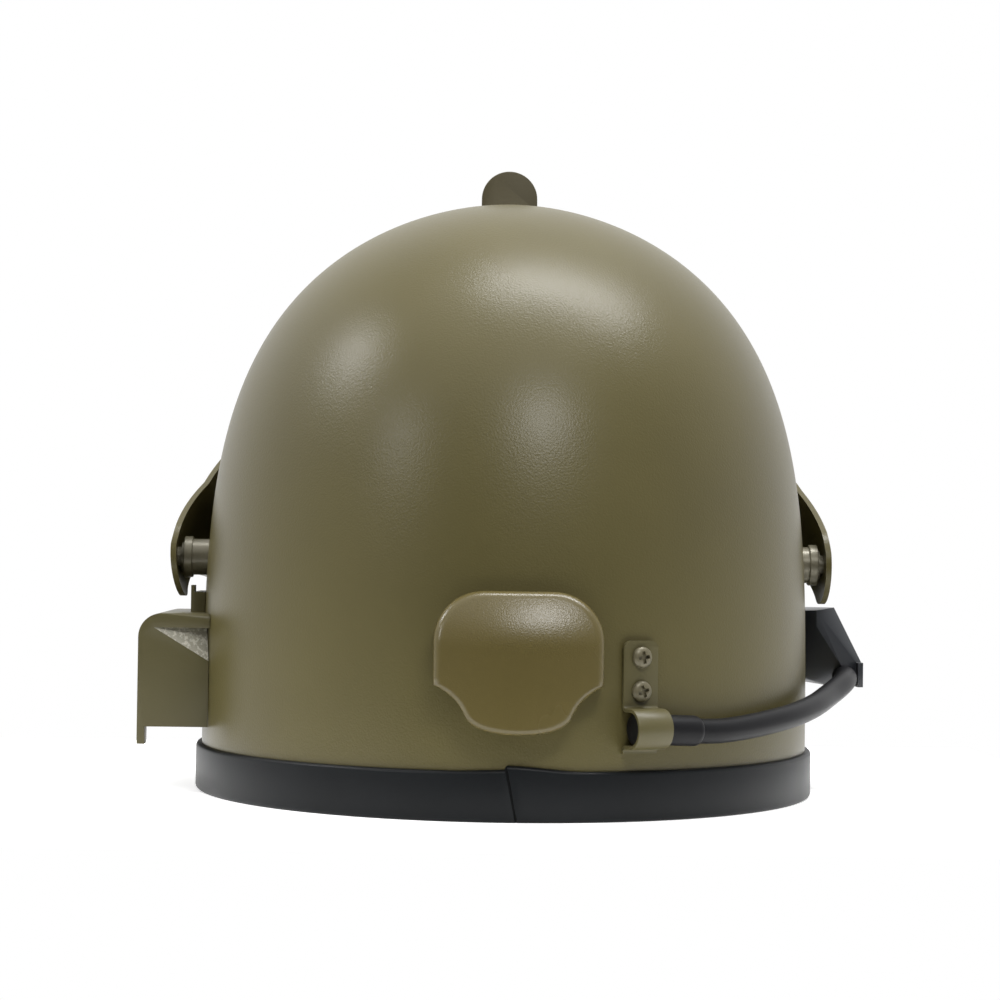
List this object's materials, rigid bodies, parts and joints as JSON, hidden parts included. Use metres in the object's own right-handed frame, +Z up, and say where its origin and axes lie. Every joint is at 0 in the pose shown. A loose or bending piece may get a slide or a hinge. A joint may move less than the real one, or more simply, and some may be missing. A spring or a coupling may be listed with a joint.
{
  "type": "tactical helmet",
  "caption": "Domed hard helmet with a hinged visor and window, rubber edge trim, back cover, side guard, cable housing and a clipped cable.",
  "frame": {"origin": "centre of the overall box, on the plane that the rubber rim rests on", "axes": "+X towards the wearer's right, +Y forward out of the face opening, +Z up through the crown"},
  "size_m": [0.2912, 0.314, 0.2516],
  "materials": {
    "olive_paint": "satin olive paint with a fine orange peel",
    "cover_paint": "satin olive paint, slightly glossier on its edges",
    "guard_paint": "satin olive paint, coarse on the sloping facet",
    "visor_paint": "satin olive paint",
    "frame_paint": "satin dark olive paint",
    "latch_paint": "matt dark olive paint",
    "stud_paint": "satin olive paint over turned metal",
    "screw_metal": "olive painted pan head with worn edges",
    "edge_rubber": "matt black moulded rubber",
    "cable_rubber": "smooth matt black rubber sheath",
    "black_plastic": "matt black moulded plastic",
    "window_glass": "thick greenish safety glass"
  },
  "bodies": {
    "helmet": {"shell": "olive_paint", "edge_trim": "edge_rubber", "back_cover": "cover_paint", "side_guard": "guard_paint", "cable_housing": "black_plastic", "cable": "cable_rubber", "cable_sleeve": "cable_rubber", "cable_clip": "guard_paint", "clip_screw_1": "screw_metal", "clip_screw_2": "screw_metal", "crown_latch": "latch_paint", "pivot_stud_right": "stud_paint", "pivot_stud_left": "stud_paint"},
    "visor": {"visor_plate": "visor_paint", "window_frame": "frame_paint", "window_pane": "window_glass"}
  },
  "joints": [
    {"name": "visor_hinge", "type": "hinge", "parent": "helmet", "child": "visor", "pos_m": [-0.0014, -0.00035, 0.0916], "axis": [1, 0, 0], "range_deg": [0, 50]}
  ]
}
